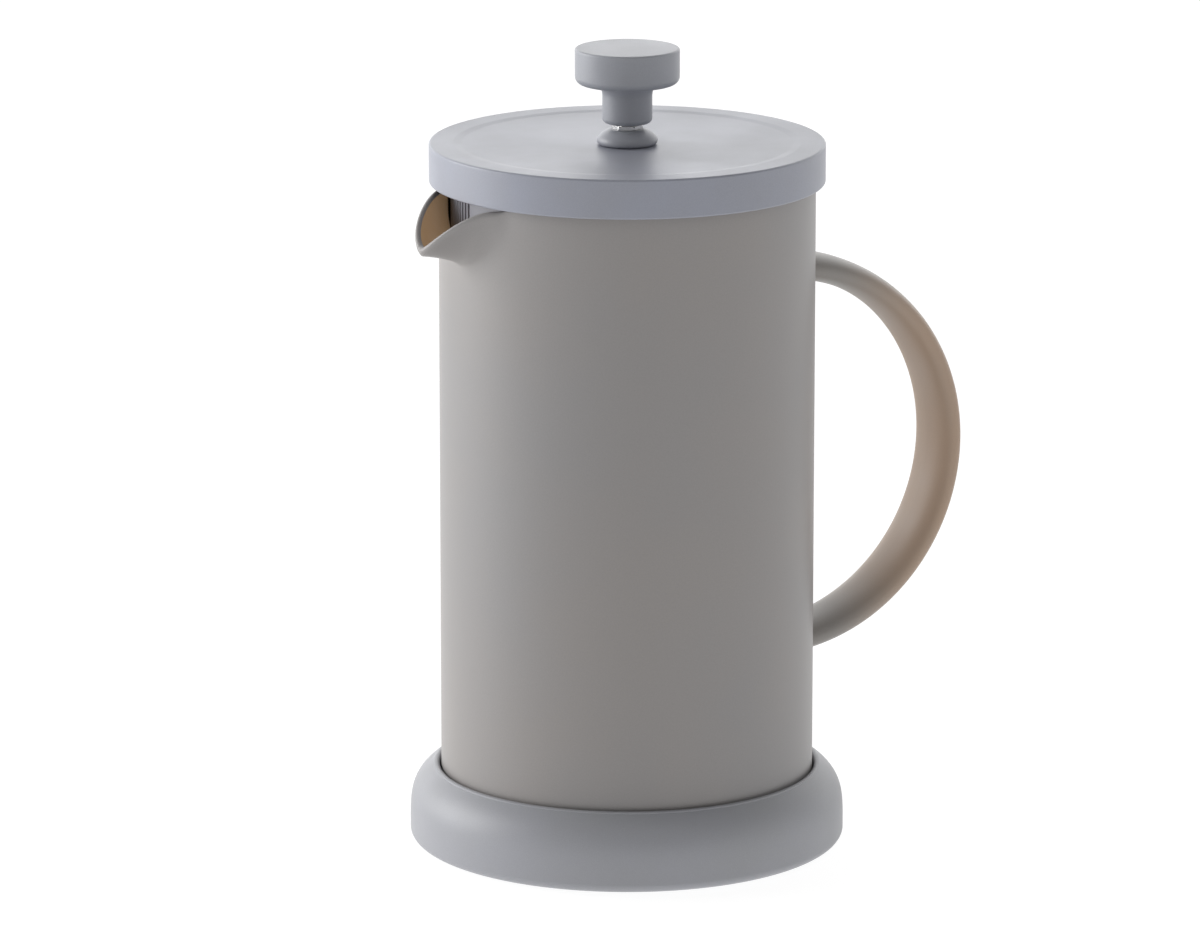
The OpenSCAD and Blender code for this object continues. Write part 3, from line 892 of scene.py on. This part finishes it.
def flatPlate(low, high, loops, bevel):
    # a sheet with holes; each loop is a list of (x, y) points, and the first one is the outline
    bm = bmesh.new()
    for loop in loops:
        verts = [bm.verts.new((x, y, low)) for x, y in loop]
        for pair in zip(verts, verts[1:] + verts[:1]):
            bm.edges.new(pair)
    bmesh.ops.triangle_fill(bm, use_beauty=True, use_dissolve=False, edges=bm.edges)
    grown = bmesh.ops.extrude_face_region(bm, geom=bm.faces[:] + bm.edges[:] + bm.verts[:])
    upper = [item for item in grown["geom"] if isinstance(item, bmesh.types.BMVert)]
    bmesh.ops.translate(bm, verts=upper, vec=(0, 0, high - low))
    bmesh.ops.recalc_face_normals(bm, faces=bm.faces)
    rims = [edge for edge in bm.edges if edge.calc_face_angle(0) > math.radians(60)]
    if bevel:
        bmesh.ops.bevel(bm, geom=rims, offset=bevel, segments=2, profile=0.5, affect="EDGES", material=-1)
    return bm


def circlePoints(x, y, radius, count):
    turns = [2 * math.pi * index / count for index in range(count)]
    return [(x + radius * math.cos(turn), y + radius * math.sin(turn)) for turn in turns]


spiralPlate = {"hole": 0.0022, "step": 0.0076, "first": 0.005, "rings": 4, "sheet": 0.0008}


def makeSpiralPlate():
    low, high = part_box("spiral_plate")
    outer = high.x
    loops = [circlePoints(0, 0, outer - 0.0012, 128), circlePoints(0, 0, plunger["rodRadius"], 48)]
    for ring in range(1, spiralPlate["rings"] + 1):
        away = spiralPlate["first"] + spiralPlate["step"] * ring
        for index in range(6 * ring):
            turn = math.radians(360 / (6 * ring) * (index + ring / 2))
            loops.append(circlePoints(away * math.cos(turn), away * math.sin(turn), spiralPlate["hole"], 20))
    bm = flatPlate(low.z, low.z + spiralPlate["sheet"], loops, 0.0001)
    inside = outer - spiralPlate["sheet"]
    rim = spun(rounded([
        (outer - 0.0013, low.z, 0), (outer, low.z, 0.0008), (outer, high.z, 0.0002),
        (inside, high.z, 0.0002), (inside, low.z + 0.0008, 0.0002), (outer - 0.0013, low.z + 0.0008, 0),
    ]), 128)
    turned = bpy.data.meshes.new("rim")
    rim.to_mesh(turned)
    rim.free()
    bm.from_mesh(turned)
    bpy.data.meshes.remove(turned)
    finishPiece(bm, "spiralPlate", "spiral_plate", rolledSteel, sharpAngle=50)


spring = {"wire": 0.00028, "turns": 150, "pointsPerTurn": 14, "sides": 6}


def makeRimSpring():
    # a long coil bent into a ring, its ends hooked together
    low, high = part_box("rim_spring")
    coil = (high.z - low.z) / 2 - spring["wire"]
    ringRadius = high.x - (high.z - low.z) / 2
    height = (low.z + high.z) / 2
    curve = bpy.data.curves.new("coil", "CURVE")
    curve.dimensions = "3D"
    curve.bevel_depth = spring["wire"]
    curve.bevel_resolution = 1
    count = spring["turns"] * spring["pointsPerTurn"]
    path = curve.splines.new("POLY")
    path.points.add(count - 1)
    path.use_cyclic_u = True
    for index, point in enumerate(path.points):
        around = 2 * math.pi * index / count
        twist = 2 * math.pi * index / spring["pointsPerTurn"]
        away = ringRadius + coil * math.cos(twist)
        point.co = (away * math.cos(around), away * math.sin(around), height + coil * math.sin(twist), 1)
    wire = bpy.data.objects.new("coil", curve)
    bpy.context.collection.objects.link(wire)
    mesh = bpy.data.meshes.new_from_object(wire.evaluated_get(bpy.context.evaluated_depsgraph_get()))
    bpy.data.objects.remove(wire)
    bm = bmesh.new()
    bm.from_mesh(mesh)
    bmesh.ops.remove_doubles(bm, verts=bm.verts, dist=1e-7)
    finishPiece(bm, "rimSpring", "rim_spring", wireSteel, sharpAngle=80, soften=False)


def makeScreen():
    low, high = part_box("mesh_screen")
    outer, sheet, bend, hole = high.x, 0.0004, 0.003, plunger["rodRadius"]
    corners = [(hole, low.z, 0), (outer, low.z, bend), (outer, high.z, 0.00015),
               (outer - sheet, high.z, 0.00015), (outer - sheet, low.z + sheet, bend - sheet),
               (hole, low.z + sheet, 0)]
    finishPiece(spun(rounded(corners), 192), "meshScreen", "mesh_screen", wovenWire)


crossPlate = {"hub": 0.009, "rim": 0.004, "arm": 0.008, "bore": 0.0036}


def makeCrossPlate():
    low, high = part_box("cross_plate")
    outer = high.x
    window = outer - crossPlate["rim"]
    loops = [circlePoints(0, 0, outer, 128), circlePoints(0, 0, crossPlate["bore"], 48)]
    for quarter in range(4):
        loop = []
        for radius, way in ((window, 1), (crossPlate["hub"], -1)):
            edge = math.asin(crossPlate["arm"] / 2 / radius)
            steps = 24 if way > 0 else 8
            for step in range(steps + 1):
                part = step / steps if way > 0 else 1 - step / steps
                turn = math.radians(90 * quarter - 45) + edge + (math.pi / 2 - 2 * edge) * part
                loop.append((radius * math.cos(turn), radius * math.sin(turn)))
        loops.append(loop)
    sheet = flatPlate(low.z, high.z, loops, 0.00015)
    finishPiece(sheet, "crossPlate", "cross_plate", rolledSteel, sharpAngle=50)


def makeBush():
    low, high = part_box("cross_bush")
    flange, neck, bore = high.x, crossPlate["bore"], plunger["rodRadius"]
    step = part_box("cross_plate")[0].z
    corners = [(bore, low.z, 0.0001), (flange, low.z, 0.0003), (flange, step, 0.0001), (neck, step, 0),
               (neck, high.z, 0.0001), (bore, high.z, 0.0001)]
    finishPiece(spun(rounded(corners), 96), "crossBush", "cross_bush", turnedSteel)


makeKnob()
makeInsert()
makeRod()
makeCollar()
makeSpiralPlate()
makeRimSpring()
makeScreen()
makeCrossPlate()
makeBush()
print("plunger made")


studio = {
    "floorSize": 12,
    "floor": (0.88, 0.88, 0.88, 1),
    "front": 0.28,         # brightness of the room in front of the press
    "backdrop": 2.0,       # of the white sweep behind it
    "ceiling": 0.5,        # and of the ceiling, as a share of what is round it
    "shade": 0.25,         # how much of the floor's own shading is seen
}


def makeFloor():
    bm = bmesh.new()
    bmesh.ops.create_grid(bm, x_segments=1, y_segments=1, size=studio["floorSize"] / 2)
    mesh = bpy.data.meshes.new("floor")
    bm.to_mesh(mesh)
    bm.free()
    floor = bpy.data.objects.new("floor", mesh)
    bpy.context.collection.objects.link(floor)
    finish = Finish("palePaper", Roughness=0.9)
    fibre = finish.noise(60, detail=4)
    tone = finish.blend(finish.fit(fibre, 0.3, 0.7, 0, 1), studio["floor"], (0.87, 0.87, 0.87, 1))
    finish.feed(Base_Color=tone)
    # the paper is lit until it is white, so only a trace of its shading is left to see
    white = finish.node("ShaderNodeEmission", inputs={"Color": (1, 1, 1, 1), "Strength": 1.2})
    surface = finish.node("ShaderNodeMixShader", inputs={0: 1 - studio["shade"], 2: white})
    finish.tree.links.new(finish.shader.outputs[0], surface.socket.node.inputs[1])
    finish.tree.links.new(surface.socket, finish.output.inputs["Surface"])
    mesh.materials.append(finish.material)


def makeLight(name, azimuth, elevation, distance, size, power, height=0.1):
    light = bpy.data.lights.new(name, "AREA")
    light.shape = "RECTANGLE"
    light.size, light.size_y = size
    light.energy = power
    lamp = bpy.data.objects.new(name, light)
    bpy.context.collection.objects.link(lamp)
    lamp.location = Vector((0, 0, height)) + outward(azimuth, elevation) * distance
    lamp.rotation_mode = "QUATERNION"
    lamp.rotation_quaternion = outward(azimuth, elevation).to_track_quat("Z", "Y")


def makeWorld():
    world = bpy.data.worlds.new("studio")
    world.use_nodes = True
    tree = world.node_tree
    back = tree.nodes["Background"]
    back.inputs["Color"].default_value = (1, 1, 1, 1)

    def node(kind, settings, inputs):
        made = tree.nodes.new(kind)
        for key, value in settings.items():
            setattr(made, key, value)
        for key, value in inputs.items():
            if isinstance(value, bpy.types.NodeSocket):
                tree.links.new(value, made.inputs[key])
            else:
                made.inputs[key].default_value = value
        return made

    def ease(value, low, high, outLow, outHigh):
        limits = {"From Min": low, "From Max": high, "To Min": outLow, "To Max": outHigh, "Value": value}
        return node("ShaderNodeMapRange", {"interpolation_type": "SMOOTHSTEP"}, limits).outputs[0]

    where = node("ShaderNodeTexCoord", {}, {}).outputs["Generated"]
    behind = outward(cameraSetup["azimuth"] + 180, 8)
    aligned = node("ShaderNodeVectorMath", {"operation": "DOT_PRODUCT"}, {0: where, 1: behind})
    facing = aligned.outputs["Value"]
    height = node("ShaderNodeSeparateXYZ", {}, {0: where}).outputs["Z"]
    sweep = ease(facing, 0.1, 0.95, studio["front"], studio["backdrop"])
    above = ease(height, 0.35, 0.9, 1, studio["ceiling"])
    room = node("ShaderNodeMath", {"operation": "MULTIPLY"}, {0: sweep, 1: above}).outputs[0]
    camera = node("ShaderNodeLightPath", {}, {}).outputs["Is Camera Ray"]
    choose = node("ShaderNodeMix", {}, {0: camera, 2: room, 3: 1})
    tree.links.new(choose.outputs[0], back.inputs["Strength"])
    bpy.context.scene.world = world


lamps = {
    "keyLight": {"azimuth": -128, "elevation": 14, "distance": 1.6, "size": (1.2, 1.2), "power": 24},
    "sideLight": {"azimuth": 62, "elevation": 10, "distance": 1.8, "size": (0.5, 1.0), "power": 1.6},
    "frontLight": {"azimuth": -10, "elevation": 52, "distance": 1.8, "size": (1.2, 1.2), "power": 3.5},
}

makeFloor()
makeWorld()
for name, lamp in lamps.items():
    makeLight(name, **lamp)
bpy.context.scene.view_settings.view_transform = "Standard"
print("studio made")
